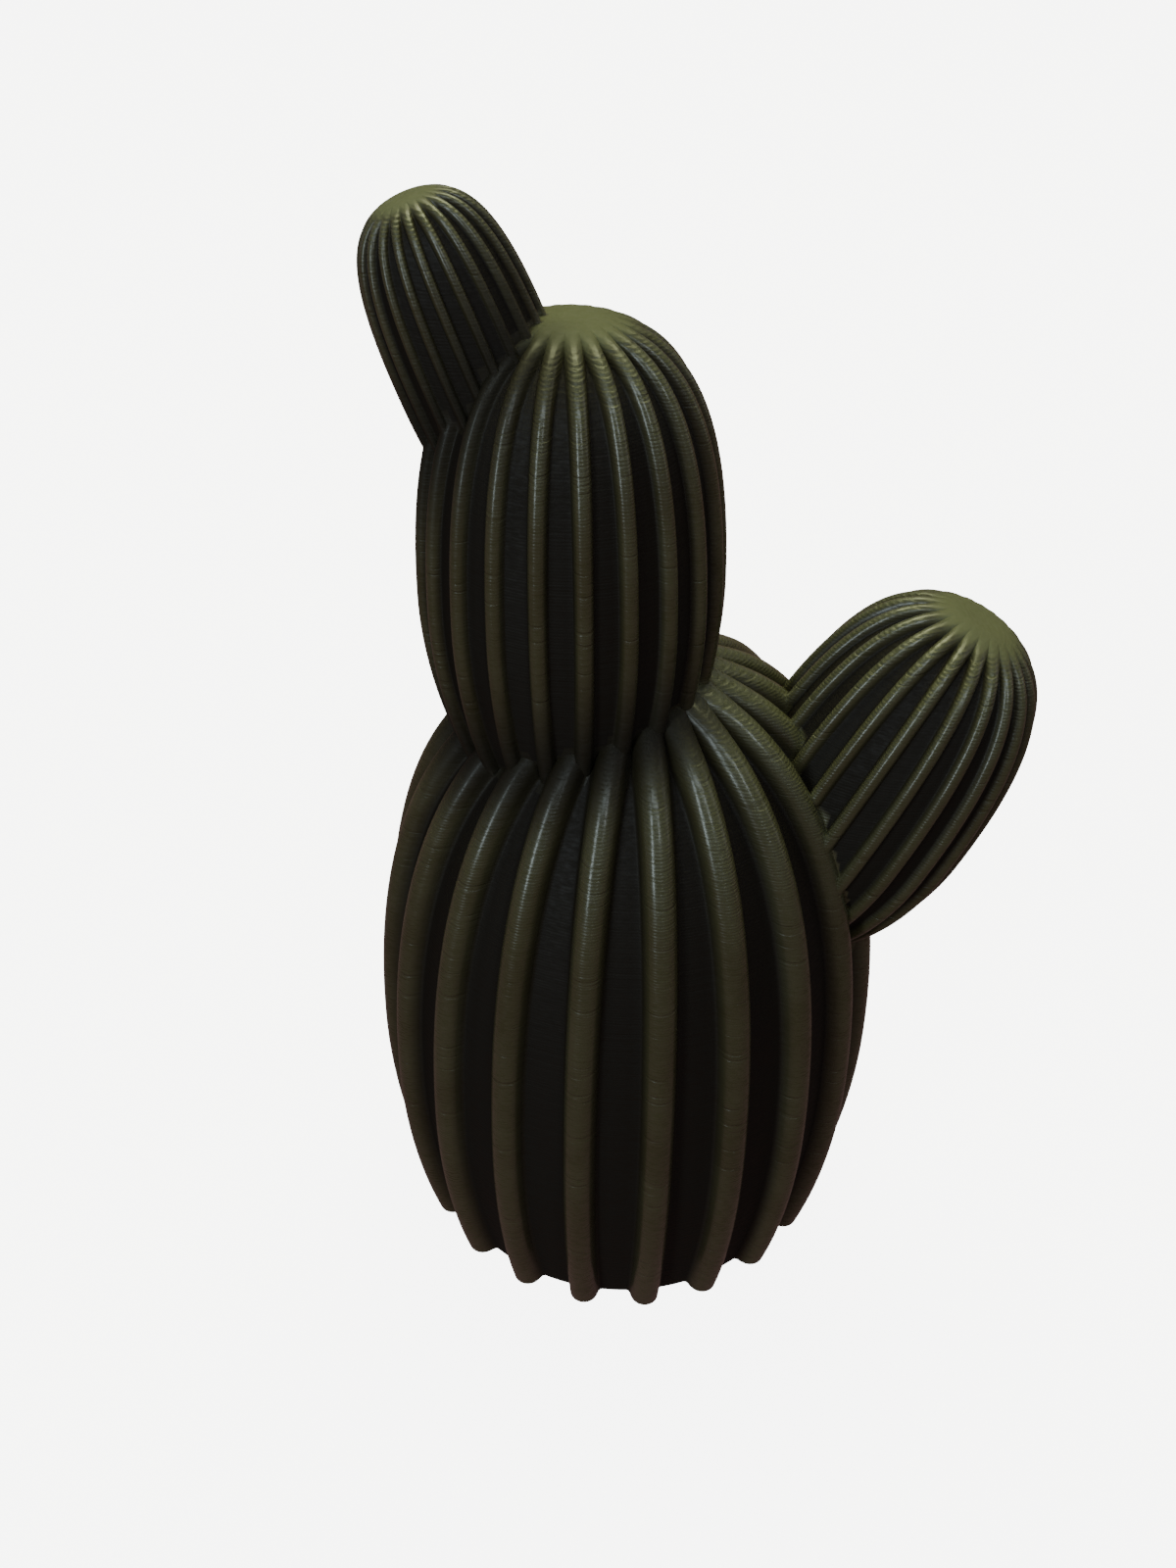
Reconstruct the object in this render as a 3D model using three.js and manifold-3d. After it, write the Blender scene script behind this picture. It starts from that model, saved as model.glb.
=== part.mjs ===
// Ribbed cactus figurine: one printed piece of four fused, ribbed lobes.
//
// Millimetres, +Z up, front towards -Y. The origin is on the main body's own
// axis, in the plane of the flat base that the figurine stands on.

import * as THREE from 'three';
import { mergeVertices } from 'three/addons/utils/BufferGeometryUtils.js';
import Module from 'manifold-3d';

const wasm = await Module();
wasm.setup();

// Driving dimensions ---------------------------------------------------------

// Rib form, as shares of the rib spacing round a lobe at its widest: a round top
// on steep flanks, with a flat valley floor between the feet of two ribs. A rib
// keeps its size all the way up, so ribs that crowd together meet in a crease.
const RIB_ROUND = 0.2;
const RIB_HEIGHT = 0.24;
const RIB_FOOT = 0.24;
const FLANK_SLOPE = THREE.MathUtils.degToRad(74);

// Columns between the crest and the middle of the valley: the shoulder as a share
// of the way to the foot, and the foot as its largest share of half the spacing.
const SHOULDER_SHARE = 0.66;
const LARGEST_FOOT_SHARE = 0.86;

// Each tip is a flat cap. The ribs melt into it between these shares of the
// lobe's radius.
const CAP_RADIUS = 0.24;
const FULL_RIB_RADIUS = 0.42;

// Each lobe is a body of revolution about its own axis. Its widest ring is at
// centre. It rises riseAbove over that ring and reaches dropBelow under it,
// along superellipse arcs whose exponents are fullAbove and fullBelow. The
// axis leans towards +X by leanRight and towards +Y by leanBack, in degrees.
// ribs is how many ribs it has, and ribTurn is the angle of one of them from the
// lobe's own right-hand side. The surface is built from ringsAbove rings from the
// cap's edge to the widest ring, and from ringsBelow rings over the lowestShare
// of the way to the lower end, which lies inside the lobe that carries it or
// under the base plane.
const MAIN_LOBE = {
  centre: [0, 0, 22.2],
  radius: 23.2,
  riseAbove: 40.1,
  dropBelow: 46.7,
  fullAbove: 2.42,
  fullBelow: 1.9,
  leanRight: 0,
  leanBack: 0,
  ribs: 20,
  ribTurn: 6.8,
  ringsAbove: 10,
  ringsBelow: 4,
  lowestShare: 0.38,
};

const MIDDLE_LOBE = {
  centre: [-5.4, 1.6, 68.65],
  radius: 12.7,
  riseAbove: 22.1,
  dropBelow: 25.5,
  fullAbove: 2.58,
  fullBelow: 1.8,
  leanRight: -1,
  leanBack: 6.4,
  ribs: 21,
  ribTurn: 1.4,
  ringsAbove: 10,
  ringsBelow: 4,
  lowestShare: 0.6,
};

const BUD_LOBE = {
  centre: [-12.6, 4, 85.7],
  radius: 6.55,
  riseAbove: 14.5,
  dropBelow: 14.6,
  fullAbove: 2.84,
  fullBelow: 2.5,
  leanRight: -21.6,
  leanBack: 5,
  ribs: 21,
  ribTurn: 1.4,
  ringsAbove: 7,
  ringsBelow: 3,
  lowestShare: 0.6,
};

const ARM_LOBE = {
  centre: [19.9, 0.3, 47.2],
  radius: 10.9,
  riseAbove: 20.6,
  dropBelow: 17.6,
  fullAbove: 2.6,
  fullBelow: 1.85,
  leanRight: 25.6,
  leanBack: 1.9,
  ribs: 21,
  ribTurn: 5.8,
  ringsAbove: 8,
  ringsBelow: 4,
  lowestShare: 0.6,
};

// The block under the base plane that trims the main body flat is far larger
// than the figurine.
const TRIM_BLOCK_SIZE = 120;

// Rib form -------------------------------------------------------------------

function spacingAt(radius, lobe) {
  return (2 * Math.PI * radius) / lobe.ribs;
}

// Depth under the crest line at a distance along the ring from a rib's crest.
function ribDepth(along, fullSpacing) {
  const round = RIB_ROUND * fullSpacing;
  const shoulder = round * Math.sin(FLANK_SLOPE);
  if (along < shoulder) {
    return round - Math.sqrt(round ** 2 - along ** 2);
  }
  const shoulderDepth = round * (1 - Math.cos(FLANK_SLOPE));
  const flankDepth = shoulderDepth + (along - shoulder) * Math.tan(FLANK_SLOPE);
  return Math.min(flankDepth, RIB_HEIGHT * fullSpacing);
}

// Half of one rib's outline, from crest to valley, as distances along the
// lobe's ring and depths below the crest.
function ribSection(ringRadius, lobe) {
  const fullSpacing = spacingAt(lobe.radius, lobe);
  const valley = spacingAt(ringRadius, lobe) / 2;
  const foot = Math.min(RIB_FOOT * fullSpacing, LARGEST_FOOT_SHARE * valley);
  const shoulder = SHOULDER_SHARE * foot;
  const ribShare = THREE.MathUtils.smoothstep(ringRadius / lobe.radius, CAP_RADIUS, FULL_RIB_RADIUS);
  return [0, shoulder, foot, valley].map((along) => ({
    along,
    depth: ribShare * ribDepth(along, fullSpacing),
  }));
}

// Angles and depths of every column round a ring, rib by rib.
function ringColumns(ringRadius, lobe) {
  const [crest, shoulder, foot, valley] = ribSection(ringRadius, lobe);
  const acrossRib = [
    { along: -foot.along, depth: foot.depth },
    { along: -shoulder.along, depth: shoulder.depth },
    crest,
    shoulder,
    foot,
    valley,
  ];
  const columns = [];
  for (let rib = 0; rib < lobe.ribs; rib += 1) {
    const ribAngle = (2 * Math.PI * rib) / lobe.ribs;
    for (const point of acrossRib) {
      columns.push({ angle: ribAngle + point.along / ringRadius, depth: point.depth });
    }
  }
  return columns;
}

// Lobe form ------------------------------------------------------------------

// A point of the crest line, with its outward direction, at an angle measured
// from the lobe's axis. Height is positive above the widest ring.
function crestPoint(radius, reach, fullness, angle) {
  const power = 2 / fullness;
  const out = Math.sin(angle) ** power;
  const up = Math.cos(angle) ** power;
  const slopeOut = out ** (fullness - 1) / radius;
  const slopeUp = up ** (fullness - 1) / reach;
  const length = Math.hypot(slopeOut, slopeUp);
  return {
    radius: radius * out,
    height: reach * up,
    normalOut: slopeOut / length,
    normalUp: slopeUp / length,
  };
}

// The crest line from the edge of the cap down to the lowest ring.
function crestLine(lobe) {
  const points = [];
  const capAngle = Math.asin(CAP_RADIUS ** (lobe.fullAbove / 2));
  for (let i = 0; i < lobe.ringsAbove; i += 1) {
    const angle = THREE.MathUtils.lerp(capAngle, Math.PI / 2, i / (lobe.ringsAbove - 1));
    points.push(crestPoint(lobe.radius, lobe.riseAbove, lobe.fullAbove, angle));
  }
  for (let i = 1; i <= lobe.ringsBelow; i += 1) {
    const angle = (Math.PI / 2) * (1 - (lobe.lowestShare * i) / lobe.ringsBelow);
    const point = crestPoint(lobe.radius, lobe.dropBelow, lobe.fullBelow, angle);
    points.push({ ...point, height: -point.height, normalUp: -point.normalUp });
  }
  return points;
}

// The lobe's own frame: its axis leans, and its right-hand side stays level.
function lobeMatrix(lobe) {
  const right = THREE.MathUtils.degToRad(lobe.leanRight);
  const back = THREE.MathUtils.degToRad(lobe.leanBack);
  const axis = new THREE.Vector3(
    Math.sin(right) * Math.cos(back),
    Math.sin(back),
    Math.cos(right) * Math.cos(back),
  );
  const side = new THREE.Vector3(0, 1, 0).cross(axis).normalize();
  const rear = new THREE.Vector3().crossVectors(axis, side);
  const turn = new THREE.Matrix4().makeRotationZ(THREE.MathUtils.degToRad(lobe.ribTurn));
  return new THREE.Matrix4()
    .makeBasis(side, rear, axis)
    .setPosition(...lobe.centre)
    .multiply(turn);
}

function ribbedLobe(lobe) {
  const rings = crestLine(lobe);
  const positions = [0, 0, rings[0].height];
  const indices = [];
  const columnCount = ringColumns(lobe.radius, lobe).length;
  for (const ring of rings) {
    for (const column of ringColumns(ring.radius, lobe)) {
      const radius = ring.radius - column.depth * ring.normalOut;
      const height = ring.height - column.depth * ring.normalUp;
      positions.push(radius * Math.cos(column.angle), radius * Math.sin(column.angle), height);
    }
  }
  const lowest = rings[rings.length - 1];
  positions.push(0, 0, lowest.height);
  const lastVertex = 1 + rings.length * columnCount;
  const vertex = (ring, column) => 1 + ring * columnCount + (column % columnCount);
  for (let column = 0; column < columnCount; column += 1) {
    indices.push(0, vertex(0, column), vertex(0, column + 1));
    for (let ring = 0; ring < rings.length - 1; ring += 1) {
      const a = vertex(ring, column);
      const b = vertex(ring, column + 1);
      const c = vertex(ring + 1, column);
      const d = vertex(ring + 1, column + 1);
      indices.push(a, c, d, a, d, b);
    }
    indices.push(lastVertex, vertex(rings.length - 1, column + 1), vertex(rings.length - 1, column));
  }
  const geometry = new THREE.BufferGeometry();
  geometry.setAttribute('position', new THREE.Float32BufferAttribute(positions, 3));
  geometry.setIndex(indices);
  return geometry.applyMatrix4(lobeMatrix(lobe));
}

// Joining --------------------------------------------------------------------

function toSolid(geometry) {
  geometry.deleteAttribute('normal');
  geometry.deleteAttribute('uv');
  const merged = mergeVertices(geometry);
  return new wasm.Manifold(new wasm.Mesh({
    numProp: 3,
    vertProperties: Float32Array.from(merged.attributes.position.array),
    triVerts: Uint32Array.from(merged.index.array),
  }));
}

function toGeometry(solid) {
  const { vertProperties, triVerts } = solid.getMesh();
  const geometry = new THREE.BufferGeometry();
  geometry.setAttribute('position', new THREE.BufferAttribute(vertProperties, 3));
  geometry.setIndex(new THREE.BufferAttribute(triVerts, 1));
  geometry.computeVertexNormals();
  return geometry;
}

function cactusFigure() {
  const lobes = [MAIN_LOBE, MIDDLE_LOBE, BUD_LOBE, ARM_LOBE].map((lobe) => toSolid(ribbedLobe(lobe)));
  const fused = lobes.reduce((whole, lobe) => whole.add(lobe));
  const block = new THREE.BoxGeometry(TRIM_BLOCK_SIZE, TRIM_BLOCK_SIZE, TRIM_BLOCK_SIZE);
  block.translate(0, 0, -TRIM_BLOCK_SIZE / 2);
  return toGeometry(fused.subtract(toSolid(block)));
}

// Assembly -------------------------------------------------------------------

const olivePlastic = new THREE.MeshStandardMaterial({
  color: '#5b5a3c',
  roughness: 0.38,
  metalness: 0,
});

const figure = new THREE.Mesh(cactusFigure(), olivePlastic);
figure.name = 'cactus_figure';

const cactus = new THREE.Group();
cactus.add(figure);

export default cactus;
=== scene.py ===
# Ribbed cactus figurine: four fused, ribbed lobes printed in dark olive plastic.
import math

import bpy
from mathutils import Matrix, Vector


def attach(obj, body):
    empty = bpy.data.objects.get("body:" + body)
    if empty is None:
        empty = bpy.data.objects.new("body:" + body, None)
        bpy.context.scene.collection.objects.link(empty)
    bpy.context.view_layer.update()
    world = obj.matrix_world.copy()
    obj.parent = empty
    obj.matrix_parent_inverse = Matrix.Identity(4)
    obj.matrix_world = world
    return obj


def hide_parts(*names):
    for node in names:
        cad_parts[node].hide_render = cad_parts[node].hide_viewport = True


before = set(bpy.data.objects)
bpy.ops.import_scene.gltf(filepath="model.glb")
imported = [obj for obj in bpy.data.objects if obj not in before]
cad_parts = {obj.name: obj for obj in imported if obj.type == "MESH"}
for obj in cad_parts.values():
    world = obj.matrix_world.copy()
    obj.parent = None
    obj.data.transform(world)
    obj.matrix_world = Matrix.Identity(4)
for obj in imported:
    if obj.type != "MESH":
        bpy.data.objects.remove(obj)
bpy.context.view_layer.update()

# ----------------------------------------------------------------------------
# Driving dimensions of the figure, in millimetres and degrees
# ----------------------------------------------------------------------------

MM = 0.001

# Rib form, as shares of the rib spacing round a lobe at its widest: a round top,
# a steep flank, and a small round fillet down to the valley floor. Where ribs crowd
# together near a tip, they meet in a crease above the valley floor.
RIB_ROUND = 0.2
RIB_HEIGHT = 0.24
FLANK_SLOPE = 74
VALLEY_FILLET = 0.045

# Each tip is a flat cap, with this share of the lobe's radius. The ribs melt into it
# between the two shares that each lobe gives as rib_fade.
CAP_RADIUS = 0.24

# Mesh columns across half a rib, from its crest to the middle of the valley. Between
# crowded ribs, half the valley floor keeps at least the width of NARROWEST_FLOOR.
ROUND_COLUMNS = 5
FLANK_COLUMNS = 1
FILLET_COLUMNS = 2
FLOOR_COLUMNS = 2
HALF_RIB_COLUMNS = ROUND_COLUMNS + FLANK_COLUMNS + FILLET_COLUMNS + FLOOR_COLUMNS
NARROWEST_FLOOR = 0.03

# Points nearer than this are one, in metres: where the turned profile closes and at the
# base plane, and then all over a lobe. Edges that turn less than the angle look smooth.
PROFILE_MERGE = 1e-6
COLUMN_MERGE = 2e-6
SMOOTH_ANGLE = 40

# Each lobe's widest ring is at centre. It rises and drops from there along superellipse
# arcs with the exponents full_above and full_below, and its axis leans to the right and
# to the back. One rib stands rib_turn degrees from the lobe's right-hand side, and steps
# is the number of mesh rings along each arc. The arm's radius is 0.04 less than its
# solid's, which keeps this finer mesh inside the solid's box.
LOBES = {
    "main": {
        "centre": (0, 0, 22.2),
        "radius": 23.2,
        "rise": 40.1,
        "drop": 46.7,
        "full_above": 2.42,
        "full_below": 1.9,
        "lean_right": 0,
        "lean_back": 0,
        "ribs": 20,
        "rib_turn": 6.8,
        "rib_fade": (0.24, 0.42),
        "bare_tip": False,
        "steps": 40,
    },
    "middle": {
        "centre": (-5.4, 1.6, 68.65),
        "radius": 12.7,
        "rise": 22.1,
        "drop": 25.5,
        "full_above": 2.58,
        "full_below": 1.8,
        "lean_right": -1,
        "lean_back": 6.4,
        "ribs": 21,
        "rib_turn": 1.4,
        "rib_fade": (0.24, 0.42),
        "bare_tip": True,
        "steps": 36,
    },
    "bud": {
        "centre": (-12.6, 4, 85.7),
        "radius": 6.55,
        "rise": 14.5,
        "drop": 14.6,
        "full_above": 2.84,
        "full_below": 2.5,
        "lean_right": -21.6,
        "lean_back": 5,
        "ribs": 21,
        "rib_turn": 1.4,
        "rib_fade": (0.3, 0.6),
        "bare_tip": True,
        "steps": 28,
    },
    "arm": {
        "centre": (19.9, 0.3, 47.2),
        "radius": 10.86,
        "rise": 20.6,
        "drop": 17.6,
        "full_above": 2.6,
        "full_below": 1.85,
        "lean_right": 25.6,
        "lean_back": 1.9,
        "ribs": 21,
        "rib_turn": 5.8,
        "rib_fade": (0.26, 0.5),
        "bare_tip": True,
        "steps": 32,
    },
}

# ----------------------------------------------------------------------------
# The plastic's finish, with painted light and painted shade
# ----------------------------------------------------------------------------

# Round a bare tip the layers lie open and matt, and painted light makes the plastic paler,
# all over within the first share of the lobe's radius and not at all past the second.
TIP_SHARE = (0.32, 0.54)

# The crease where two lobes meet gets painted shade as a valley does, by JOINT_SHADE, and
# this fades out over JOINT_REACH. It is painted on the front left side only: not at all at
# the first of JOINT_PLACES and in full at the second, measured from the middle towards
# JOINT_SIDE.
JOINT_REACH = 6
JOINT_SHADE = 0.88
JOINT_SIDE = (-0.5, -0.87)
JOINT_PLACES = (-1, 6)

# A valley's painted shade begins at this share of its depth and gathers towards the floor.
VALLEY_SHADE_START = 0.2
VALLEY_SHADE_POWER = 1.5

# The height of a print layer, and noise cells along X, Y and Z, in millimetres. Layers
# lie flat, so their bands, smears and seams do too. Patches are even all ways.
LAYER = 0.25
BAND_CELL = (60, 60, 0.5)
SMEAR_CELL = (0.8, 0.8, 0.22)
SEAM_CELL = (9, 9, 0.6)
PATCH_CELL = (6, 6, 6)
LAYER_NOISE_ROUGHNESS = 0.6

# Layer relief, in millimetres, and how strong each kind of mark is. Strengths go from an
# upright face to a shoulder that slopes upward, or from a calm patch to a marked one. A
# seam opens as its noise passes SEAM_NOISE.
LAYER_RELIEF = 0.055
UPWARD_SLOPE = (0.1, 0.6)
LINE_STRENGTH = (0.06, 0.25)
SMEAR_STRENGTH = (0.7, 2)
MARKED_PATCH = (0.4, 0.65)
PATCH_STRENGTH = (0.3, 1.2)
SEAM_NOISE = (0.64, 0.7)
SEAM_DEPTH = -1

# Colours. The olives vary in soft patches. Painted light makes the plastic paler at the
# bare tips and on upward slopes, and painted shade darkens the valleys and creases.
OLIVE_LIGHT = (0.081, 0.076, 0.036)
OLIVE_DEEP = (0.068, 0.061, 0.028)
# Painted light: the paler olive for the bare tips and upward slopes.
OLIVE_PAINTED_LIGHT = (0.146, 0.155, 0.078)
# Painted shade, the near-black for the valleys and the creases between lobes.
VALLEY_PAINTED_SHADE = (0.013, 0.01, 0.006)
COLOUR_PATCH = (0.35, 0.65)
# How far up a slope must face for painted light to begin and be full, and its most.
PAINTED_LIGHT_SLOPE = (0.25, 0.85)
MOST_PAINTED_LIGHT = 0.6

# Gloss: roughness by smears and by patches, what shade and bare tips add to it, and a
# thin sheen that the layers break up. Highlights are stretched a little.
SMEAR_NOISE = (0.35, 0.65)
SMEAR_ROUGHNESS = (0.18, 0.36)
GLOSS_PATCH = (0.3, 0.7)
PATCH_ROUGHNESS = (0, 0.1)
DULL_ROUGHNESS = 0.35
SHEEN_NOISE = (0.38, 0.55)
SHEEN_WEIGHT = (0.25, 1)
SHEEN_ROUGHNESS = 0.2
SPECULAR_LEVEL = 0.3
STRETCH = 0.35
STRETCH_TURN = 0.25

# ----------------------------------------------------------------------------
# Floor, light and camera
# ----------------------------------------------------------------------------

# Sizes and distances here are in metres.
FLOOR_SIZE = 4
FLOOR_COLOUR = (0.9, 0.9, 0.89)
FLOOR_ROUGHNESS = 0.7
FLOOR_GLOW = (1, 1, 0.99)
FLOOR_GLOW_STRENGTH = 6.5

# Dim light from a brown table below and from the room above, which blend between two
# places on the way from straight down, 0, to straight up, 1. The camera itself sees the
# backdrop.
TABLE_LIGHT = (0.12, 0.072, 0.066)
ROOM_LIGHT = (0.11, 0.11, 0.14)
HORIZON = (0.48, 0.54)
BACKDROP = (8, 8, 7.95)

# What the lamps aim at, and each lamp: azimuth, elevation, distance, size, the light
# that reaches the figure, and its colour. Azimuth 0 is in front and 90 on the right.
LIGHT_AIM = (0, 0, 0.05)
LAMPS = {
    "back_softbox": (180, 62, 0.7, (0.5, 0.4), 2.1, (0.95, 1, 0.55)),
    "left_window": (-36, 24, 0.6, (0.11, 0.4), 0.85, (0.8, 0.95, 1)),
    "front_sky": (-6, 54, 0.7, (0.3, 0.14), 0.32, (0.8, 0.95, 1)),
    "right_window": (24, 44, 0.7, (0.1, 0.25), 0.28, (0.84, 0.95, 1)),
    "right_side": (95, 20, 0.7, (0.3, 0.5), 0.12, (1, 1, 0.9)),
}

# The camera stands over the front and looks down on the figurine. Its place, lens and
# sensor are in millimetres.
CAMERA_PLACE = (-3.84, -123.9, 147.4)
CAMERA_DOWN = 38.63
CAMERA_ROLL = 0.7
CAMERA_LENS = 41.2
CAMERA_SENSOR = 36
CAMERA_NEAREST = 0.005


# ----------------------------------------------------------------------------
# Small helpers
# ----------------------------------------------------------------------------

def deselect_all():
    if bpy.context.object and bpy.context.object.mode != "OBJECT":
        bpy.ops.object.mode_set(mode="OBJECT")
    bpy.ops.object.select_all(action="DESELECT")


def make_active(piece):
    deselect_all()
    piece.select_set(True)
    bpy.context.view_layer.objects.active = piece


def apply_modifier(piece, kind, **settings):
    make_active(piece)
    modifier = piece.modifiers.new(kind.title(), kind)
    for name, value in settings.items():
        setattr(modifier, name, value)
    bpy.ops.object.modifier_apply(modifier=modifier.name)


def keep_on_mesh(piece, name, values):
    """Keeps one number for each point of the mesh, for the material."""
    kept = piece.data.attributes.new(name, "FLOAT", "POINT")
    kept.data.foreach_set("value", values)


def smoothstep(value, low, high):
    share = min(max((value - low) / (high - low), 0), 1)
    return share * share * (3 - 2 * share)


# ----------------------------------------------------------------------------
# Rib form
# ----------------------------------------------------------------------------

def rib_section(spacing):
    """The rib's curves at full size: where each begins, along the ring and in depth."""
    slope = math.radians(FLANK_SLOPE)
    top = RIB_ROUND * spacing
    fillet = VALLEY_FILLET * spacing
    height = RIB_HEIGHT * spacing
    shoulder = (top * math.sin(slope), top * (1 - math.cos(slope)))
    fillet_depth = height - fillet * (1 - math.cos(slope))
    fillet_along = shoulder[0] + (fillet_depth - shoulder[1]) / math.tan(slope)
    foot_along = fillet_along + fillet * math.sin(slope)
    return {
        "slope": slope,
        "top": top,
        "fillet": fillet,
        "shoulder": shoulder,
        "fillet_start": (fillet_along, fillet_depth),
        "foot": (foot_along, height),
    }


def rib_depth(along, section):
    """Depth under the crest line at a distance along the ring."""
    if along < section["shoulder"][0]:
        return section["top"] - math.sqrt(section["top"] ** 2 - along ** 2)
    if along < section["fillet_start"][0]:
        return section["shoulder"][1] + (along - section["shoulder"][0]) * math.tan(section["slope"])
    foot, height = section["foot"]
    if along < foot:
        return height - section["fillet"] + math.sqrt(section["fillet"] ** 2 - (foot - along) ** 2)
    return height


def column_places(section):
    """Distances along the ring of the columns from crest to foot, at full size."""
    slope = section["slope"]
    places = [section["top"] * math.sin(slope * i / ROUND_COLUMNS) for i in range(ROUND_COLUMNS)]
    start, end = section["shoulder"][0], section["fillet_start"][0]
    places += [start + (end - start) * i / FLANK_COLUMNS for i in range(FLANK_COLUMNS)]
    foot = section["foot"][0]
    for i in range(FILLET_COLUMNS + 1):
        places.append(foot - section["fillet"] * math.sin(slope * (1 - i / FILLET_COLUMNS)))
    return places


def place_column(column, places, half_spacing):
    """Distance along a ring from the crest to a column. Crowded ribs lose the valley floor."""
    foot = min(places[-1], half_spacing - NARROWEST_FLOOR * MM)
    last = len(places) - 1
    if column <= last:
        return places[column] * foot / places[-1]
    return foot + (half_spacing - foot) * (column - last) / FLOOR_COLUMNS


# ----------------------------------------------------------------------------
# Lobes
# ----------------------------------------------------------------------------

def handle_share(fullness):
    """Bezier handle length, as a share of the half axis, for a superellipse quarter."""
    diagonal = 2 ** (-1 / fullness)
    return (8 * diagonal - 4) / 3


def add_profile(name, lobe):
    """The lobe's crest line from tip to lower end, as a line of edges in the XZ plane."""
    deselect_all()
    bpy.ops.curve.primitive_bezier_curve_add(location=(0, 0, 0))
    profile = bpy.context.object
    profile.name = name
    profile.data.resolution_u = lobe["steps"]
    spline = profile.data.splines[0]
    spline.bezier_points.add(1)
    radius, rise, drop = (lobe[key] * MM for key in ("radius", "rise", "drop"))
    above = handle_share(lobe["full_above"])
    below = handle_share(lobe["full_below"])
    tip, widest, end = spline.bezier_points
    tip.co = (0, 0, rise)
    widest.co = (radius, 0, 0)
    end.co = (0, 0, -drop)
    for point in spline.bezier_points:
        point.handle_left_type = "FREE"
        point.handle_right_type = "FREE"
    tip.handle_left = tip.co
    tip.handle_right = (radius * above, 0, rise)
    widest.handle_left = (radius, 0, rise * above)
    widest.handle_right = (radius, 0, -drop * below)
    end.handle_left = (radius * below, 0, -drop)
    end.handle_right = end.co
    make_active(profile)
    bpy.ops.object.convert(target="MESH")
    return bpy.context.object


def bare_share(vertex, ring_radius, lobe):
    """How far a point belongs to its lobe's bare, matt tip."""
    if not lobe["bare_tip"] or vertex.co.z <= 0:
        return 0
    return 1 - smoothstep(ring_radius / (lobe["radius"] * MM), *TIP_SHARE)


def cap_height(lobe):
    """Height of the flat cap over the widest ring: that of the crest line at the cap's edge."""
    fullness = lobe["full_above"]
    return lobe["rise"] * MM * (1 - CAP_RADIUS ** fullness) ** (1 / fullness)


def press_valleys(piece, lobe):
    """Gathers the columns on each rib's curves, flattens the cap and presses the valleys in."""
    radius = lobe["radius"] * MM
    step = 2 * math.pi / lobe["ribs"]
    section = rib_section(step * radius)
    height = section["foot"][1]
    places = column_places(section)
    valleys = piece.vertex_groups.new(name="valleys")
    tip_shares = []
    for vertex in piece.data.vertices:
        ring_radius = math.hypot(vertex.co.x, vertex.co.y)
        tip_shares.append(bare_share(vertex, ring_radius, lobe))
        half_spacing = ring_radius * step / 2
        if half_spacing > 2 * NARROWEST_FLOOR * MM:
            angle = math.atan2(vertex.co.y, vertex.co.x)
            crest = step * round(angle / step)
            column = round(abs(angle - crest) / (step / 2) * HALF_RIB_COLUMNS)
            along = place_column(column, places, half_spacing)
            angle = crest + math.copysign(along / ring_radius, angle - crest)
            vertex.co.x = ring_radius * math.cos(angle)
            vertex.co.y = ring_radius * math.sin(angle)
            share = smoothstep(ring_radius / radius, *lobe["rib_fade"])
            valleys.add([vertex.index], share * rib_depth(along, section) / height, "REPLACE")
    apply_modifier(
        piece, "DISPLACE", direction="NORMAL", mid_level=0,
        strength=-height, vertex_group="valleys",
    )
    cap = cap_height(lobe)
    for vertex in piece.data.vertices:
        vertex.co.z = min(vertex.co.z, cap)
    depths = [sum(member.weight for member in vertex.groups) for vertex in piece.data.vertices]
    keep_on_mesh(piece, "valley_depth", depths)
    keep_on_mesh(piece, "tip_share", tip_shares)
    piece.vertex_groups.clear()


def lean_matrix(lobe):
    """The lobe's own frame: its axis leans, and its right-hand side stays level."""
    right = math.radians(lobe["lean_right"])
    back = math.radians(lobe["lean_back"])
    axis = Vector((
        math.sin(right) * math.cos(back),
        math.sin(back),
        math.cos(right) * math.cos(back),
    ))
    side = Vector((0, 1, 0)).cross(axis).normalized()
    rear = axis.cross(side)
    turned = Matrix((side, rear, axis)).transposed().to_4x4()
    place = Matrix.Translation(Vector(lobe["centre"]) * MM)
    return place @ turned @ Matrix.Rotation(math.radians(lobe["rib_turn"]), 4, "Z")


def add_lobe(name, lobe):
    piece = add_profile(name, lobe)
    ring_columns = lobe["ribs"] * 2 * HALF_RIB_COLUMNS
    apply_modifier(
        piece, "SCREW", angle=2 * math.pi, axis="Z", steps=ring_columns,
        render_steps=ring_columns, use_merge_vertices=True,
        merge_threshold=PROFILE_MERGE, use_smooth_shade=True,
    )
    bpy.ops.object.mode_set(mode="EDIT")
    bpy.ops.mesh.select_all(action="SELECT")
    bpy.ops.mesh.remove_doubles(threshold=COLUMN_MERGE)
    bpy.ops.mesh.normals_make_consistent(inside=False)
    bpy.ops.object.mode_set(mode="OBJECT")
    press_valleys(piece, lobe)
    piece.matrix_world = lean_matrix(lobe)
    make_active(piece)
    bpy.ops.object.transform_apply(location=True, rotation=True, scale=True)
    return piece


# ----------------------------------------------------------------------------
# The fused figure
# ----------------------------------------------------------------------------

def lobe_gap(local, lobe):
    """About how far a point in a lobe's own frame is outside the lobe's crest surface."""
    if local.z > 0:
        reach, fullness = lobe["rise"], lobe["full_above"]
    else:
        reach, fullness = lobe["drop"], lobe["full_below"]
    radius = lobe["radius"] * MM
    out = math.hypot(local.x, local.y) / radius
    up = abs(local.z) / (reach * MM)
    return ((out ** fullness + up ** fullness) ** (1 / fullness) - 1) * radius


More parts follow.
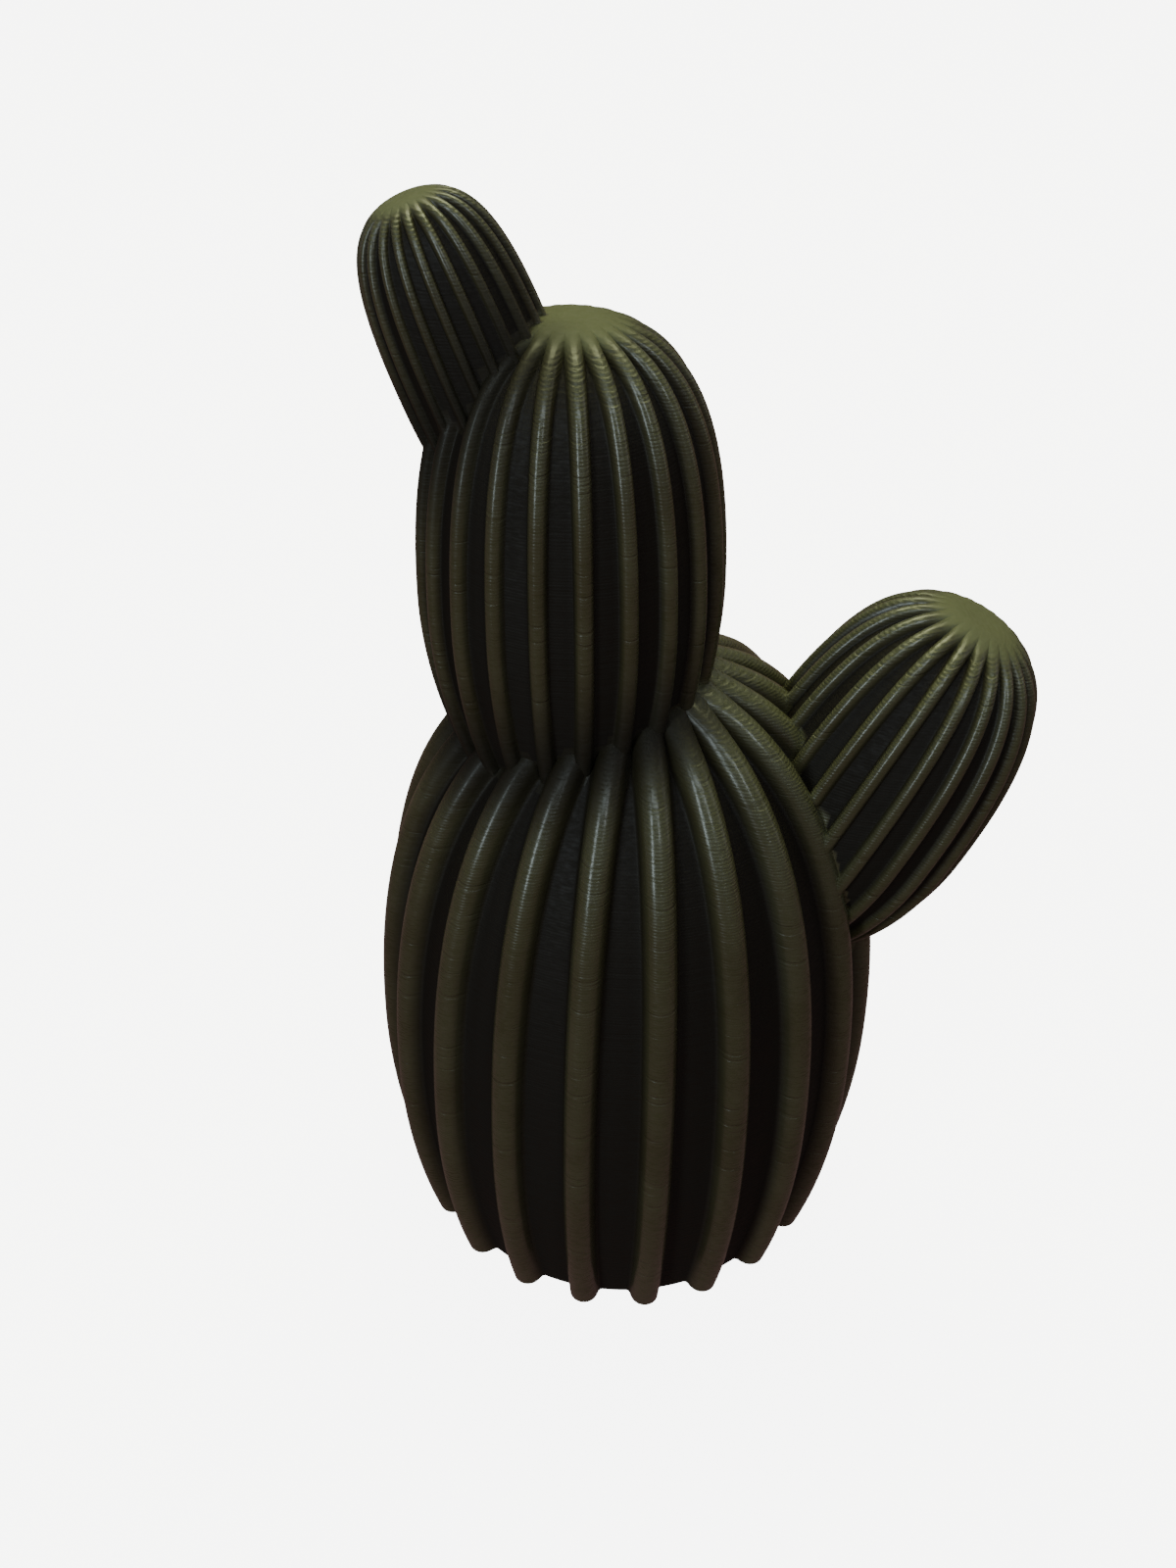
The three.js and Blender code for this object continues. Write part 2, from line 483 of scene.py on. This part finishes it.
def keep_joint_shares(figure):
    """A point lies on one lobe. The next nearest lobe says how near a joint it is."""
    # These shares mask the painted shade in the creases, on the front left side only.
    turns_back = [(lean_matrix(lobe).inverted(), lobe) for lobe in LOBES.values()]
    shares = []
    for vertex in figure.data.vertices:
        gaps = sorted(lobe_gap(turn_back @ vertex.co, lobe) for turn_back, lobe in turns_back)
        place = vertex.co.xy.dot(Vector(JOINT_SIDE)) / MM
        near = 1 - smoothstep(gaps[1], 0, JOINT_REACH * MM)
        shares.append(near * smoothstep(place, *JOINT_PLACES))
    keep_on_mesh(figure, "joint_share", shares)


def fuse(body, others):
    for other in others:
        apply_modifier(body, "BOOLEAN", operation="UNION", solver="MANIFOLD", object=other)
        bpy.data.objects.remove(other)


def cut_base_flat(piece):
    make_active(piece)
    bpy.ops.object.mode_set(mode="EDIT")
    bpy.ops.mesh.select_all(action="SELECT")
    bpy.ops.mesh.bisect(
        plane_co=(0, 0, 0), plane_no=(0, 0, 1), clear_inner=True, use_fill=True,
        threshold=PROFILE_MERGE,
    )
    bpy.ops.object.mode_set(mode="OBJECT")


def add_figure():
    figure, *others = [add_lobe(name, lobe) for name, lobe in LOBES.items()]
    fuse(figure, others)
    cut_base_flat(figure)
    keep_joint_shares(figure)
    keep_on_mesh(figure, "upward", [max(vertex.normal.z, 0) for vertex in figure.data.vertices])
    figure.name = "ribbed_cactus"
    make_active(figure)
    bpy.ops.object.shade_smooth_by_angle(angle=math.radians(SMOOTH_ANGLE))
    return figure


# ----------------------------------------------------------------------------
# Material
# ----------------------------------------------------------------------------

class MaterialNodes:
    """Short ways to add and join a material's nodes."""

    def __init__(self, material):
        self.nodes = material.node_tree.nodes
        self.links = material.node_tree.links
        self.place = self.nodes.new("ShaderNodeTexCoord").outputs["Object"]

    def feed(self, socket, value):
        """Gives a socket another node's output, a colour or a number."""
        if isinstance(value, bpy.types.NodeSocket):
            self.links.new(value, socket)
        elif isinstance(value, tuple):
            socket.default_value = (*value, 1)
        else:
            socket.default_value = value

    def calc(self, operation, *values):
        node = self.nodes.new("ShaderNodeMath")
        node.operation = operation
        for socket, value in zip(node.inputs, values):
            self.feed(socket, value)
        return node.outputs[0]

    def noise(self, cell, detail, roughness=0.5):
        """Noise whose cells have the given size in millimetres along X, Y and Z."""
        mapping = self.nodes.new("ShaderNodeMapping")
        self.links.new(self.place, mapping.inputs["Vector"])
        mapping.inputs["Scale"].default_value = [1 / (size * MM) for size in cell]
        noise = self.nodes.new("ShaderNodeTexNoise")
        self.links.new(mapping.outputs[0], noise.inputs["Vector"])
        noise.inputs["Scale"].default_value = 1
        noise.inputs["Detail"].default_value = detail
        noise.inputs["Roughness"].default_value = roughness
        return noise.outputs["Fac"]

    def spread(self, value, span, to_span):
        """Stretches the numbers within one span over another, and holds them to it."""
        node = self.nodes.new("ShaderNodeMapRange")
        self.links.new(value, node.inputs["Value"])
        names = ("From Min", "From Max", "To Min", "To Max")
        for name, number in zip(names, (*span, *to_span)):
            node.inputs[name].default_value = number
        return node.outputs["Result"]

    def mix(self, share, first, second):
        """Mixes two colours, which are the node's inputs 6 and 7 and its output 2."""
        node = self.nodes.new("ShaderNodeMix")
        node.data_type = "RGBA"
        self.links.new(share, node.inputs["Factor"])
        self.feed(node.inputs[6], first)
        self.feed(node.inputs[7], second)
        return node.outputs[2]

    def kept(self, name):
        """A number that the mesh keeps for each of its points."""
        node = self.nodes.new("ShaderNodeAttribute")
        node.attribute_name = name
        return node.outputs["Fac"]


def shaded_places(kit):
    """Painted shade down in the valleys and in the creases between lobes."""
    valley = kit.spread(kit.kept("valley_depth"), (VALLEY_SHADE_START, 1), (0, 1))
    valley = kit.calc("POWER", valley, VALLEY_SHADE_POWER)
    return kit.calc("MAXIMUM", valley, kit.calc("MULTIPLY", kit.kept("joint_share"), JOINT_SHADE))


def layer_relief(kit, smears, patches, open_face, upward):
    """Print layers: a regular fine line, uneven bands, open seams and short smeared marks.
    They stand out most where a rib's open face slopes upward."""
    split = kit.nodes.new("ShaderNodeSeparateXYZ")
    kit.links.new(kit.place, split.inputs[0])
    turns = kit.calc("MULTIPLY", split.outputs["Z"], 2 * math.pi / (LAYER * MM))
    line = kit.calc("MULTIPLY", kit.calc("SINE", turns), kit.spread(upward, UPWARD_SLOPE, LINE_STRENGTH))
    bands = kit.noise(BAND_CELL, detail=3, roughness=LAYER_NOISE_ROUGHNESS)
    seams = kit.spread(kit.noise(SEAM_CELL, detail=1), SEAM_NOISE, (0, SEAM_DEPTH))
    relief = kit.calc("ADD", kit.calc("ADD", line, bands), kit.calc("MULTIPLY", open_face, seams))
    smeared = kit.calc("MULTIPLY", smears, kit.spread(patches, MARKED_PATCH, PATCH_STRENGTH))
    smeared = kit.calc("MULTIPLY", smeared, kit.spread(upward, UPWARD_SLOPE, SMEAR_STRENGTH))
    bump = kit.nodes.new("ShaderNodeBump")
    bump.inputs["Strength"].default_value = 1
    bump.inputs["Distance"].default_value = LAYER_RELIEF * MM
    kit.links.new(kit.calc("ADD", relief, smeared), bump.inputs["Height"])
    return bump.outputs["Normal"]


def olive_colour(kit, patches, tip, upward, shade):
    """Two olives in soft patches, made paler by painted light at the tips and where a rib
    slopes upward, and darker by painted shade."""
    olive = kit.mix(kit.spread(patches, COLOUR_PATCH, (0, 1)), OLIVE_DEEP, OLIVE_LIGHT)
    # Painted light makes the bare tips and upward slopes paler.
    pale = kit.calc("MAXIMUM", tip, kit.spread(upward, PAINTED_LIGHT_SLOPE, (0, MOST_PAINTED_LIGHT)))
    # Painted shade darkens the valleys and the creases towards near-black.
    return kit.mix(shade, kit.mix(pale, olive, OLIVE_PAINTED_LIGHT), VALLEY_PAINTED_SHADE)


def uneven_gloss(kit, smears, patches, open_face):
    """Roughness varies from patch to patch and along some layers, and is more off the ribs."""
    by_smear = kit.spread(smears, SMEAR_NOISE, SMEAR_ROUGHNESS)
    by_patch = kit.spread(patches, GLOSS_PATCH, PATCH_ROUGHNESS)
    dull = kit.calc("MULTIPLY", kit.calc("SUBTRACT", 1, open_face), DULL_ROUGHNESS)
    return kit.calc("ADD", kit.calc("ADD", by_smear, by_patch), dull)


def olive_plastic():
    """Satin print plastic: olive, with fine flat layers, uneven gloss, painted shade in the valleys and
    painted light on the tips.
    """
    material = bpy.data.materials.new("olive_plastic")
    material.use_nodes = True
    kit = MaterialNodes(material)
    sockets = kit.nodes["Principled BSDF"].inputs
    smears = kit.noise(SMEAR_CELL, detail=2, roughness=LAYER_NOISE_ROUGHNESS)
    patches = kit.noise(PATCH_CELL, detail=2)

    # The ribs' open faces are all but the places with painted shade and the bare tips.
    tip = kit.kept("tip_share")
    shade = shaded_places(kit)
    open_face = kit.calc("SUBTRACT", 1, kit.calc("MAXIMUM", shade, tip))
    upward = kit.calc("MULTIPLY", open_face, kit.kept("upward"))

    kit.feed(sockets["Base Color"], olive_colour(kit, patches, tip, upward, shade))
    kit.feed(sockets["Normal"], layer_relief(kit, smears, patches, open_face, upward))
    kit.feed(sockets["Roughness"], uneven_gloss(kit, smears, patches, open_face))

    # A thin sheen lies on the ribs' open faces, broken along the layers.
    sheen = kit.calc("MULTIPLY", open_face, kit.spread(smears, SHEEN_NOISE, SHEEN_WEIGHT))
    kit.feed(sockets["Coat Weight"], sheen)
    kit.feed(sockets["Coat Roughness"], SHEEN_ROUGHNESS)
    kit.feed(sockets["Specular IOR Level"], SPECULAR_LEVEL)
    kit.feed(sockets["Anisotropic"], STRETCH)
    kit.feed(sockets["Anisotropic Rotation"], STRETCH_TURN)
    return material


# ----------------------------------------------------------------------------
# Floor, light and camera
# ----------------------------------------------------------------------------

def pale_floor():
    material = bpy.data.materials.new("pale_floor")
    material.use_nodes = True
    sockets = material.node_tree.nodes["Principled BSDF"].inputs
    sockets["Base Color"].default_value = (*FLOOR_COLOUR, 1)
    sockets["Roughness"].default_value = FLOOR_ROUGHNESS
    sockets["Emission Color"].default_value = (*FLOOR_GLOW, 1)
    sockets["Emission Strength"].default_value = FLOOR_GLOW_STRENGTH
    return material


def add_floor():
    """The pale floor shows, and takes shadows, but throws no light up on the dark figure."""
    deselect_all()
    bpy.ops.mesh.primitive_plane_add(size=FLOOR_SIZE, location=(0, 0, 0))
    floor = bpy.context.object
    floor.name = "floor"
    floor.data.materials.append(pale_floor())
    floor.visible_diffuse = False
    floor.visible_glossy = False
    floor.visible_shadow = False


def add_lamp(name, azimuth, elevation, distance, size, irradiance, colour):
    """A soft lamp, aimed at the figure."""
    around, up = math.radians(azimuth), math.radians(elevation)
    towards = Vector((math.sin(around) * math.cos(up), -math.cos(around) * math.cos(up), math.sin(up)))
    data = bpy.data.lights.new(name, "AREA")
    data.shape = "RECTANGLE"
    data.size, data.size_y = size
    data.energy = irradiance * math.pi * distance ** 2
    data.color = colour
    lamp = bpy.data.objects.new(name, data)
    bpy.context.scene.collection.objects.link(lamp)
    lamp.location = Vector(LIGHT_AIM) + towards * distance
    lamp.rotation_euler = towards.to_track_quat("Z", "Y").to_euler()
    lamp.visible_camera = False


def add_studio_air():
    """Dim light from the table and the room, with a pale backdrop all round for the camera."""
    world = bpy.data.worlds.new("studio")
    world.use_nodes = True
    nodes, links = world.node_tree.nodes, world.node_tree.links
    light = nodes["Background"]
    place = nodes.new("ShaderNodeTexCoord")
    split = nodes.new("ShaderNodeSeparateXYZ")
    links.new(place.outputs["Generated"], split.inputs[0])
    rise = nodes.new("ShaderNodeMapRange")
    rise.inputs["From Min"].default_value = -1
    links.new(split.outputs["Z"], rise.inputs["Value"])
    ramp = nodes.new("ShaderNodeValToRGB")
    links.new(rise.outputs["Result"], ramp.inputs[0])
    low, high = ramp.color_ramp.elements
    low.position, high.position = HORIZON
    low.color = (*TABLE_LIGHT, 1)
    high.color = (*ROOM_LIGHT, 1)
    links.new(ramp.outputs[0], light.inputs["Color"])
    backdrop = nodes.new("ShaderNodeBackground")
    backdrop.inputs["Color"].default_value = (*BACKDROP, 1)
    rays = nodes.new("ShaderNodeLightPath")
    mix = nodes.new("ShaderNodeMixShader")
    links.new(rays.outputs["Is Camera Ray"], mix.inputs[0])
    links.new(light.outputs[0], mix.inputs[1])
    links.new(backdrop.outputs[0], mix.inputs[2])
    links.new(mix.outputs[0], nodes["World Output"].inputs["Surface"])
    bpy.context.scene.world = world


def add_camera():
    data = bpy.data.cameras.new("camera")
    data.sensor_width = CAMERA_SENSOR
    data.lens = CAMERA_LENS
    data.clip_start = CAMERA_NEAREST
    camera = bpy.data.objects.new("camera", data)
    bpy.context.scene.collection.objects.link(camera)
    camera.location = Vector(CAMERA_PLACE) * MM
    tilt = Matrix.Rotation(math.radians(90 - CAMERA_DOWN), 4, "X")
    roll = Matrix.Rotation(math.radians(CAMERA_ROLL), 4, "Z")
    camera.rotation_euler = (tilt @ roll).to_euler()
    bpy.context.scene.camera = camera


# ----------------------------------------------------------------------------
# Assembly
# ----------------------------------------------------------------------------

figure = add_figure()
figure.data.materials.clear()
figure.data.materials.append(olive_plastic())
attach(figure, "root")
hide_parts("cactus_figure")

add_floor()
for name, lamp in LAMPS.items():
    add_lamp(name, *lamp)
add_studio_air()
add_camera()
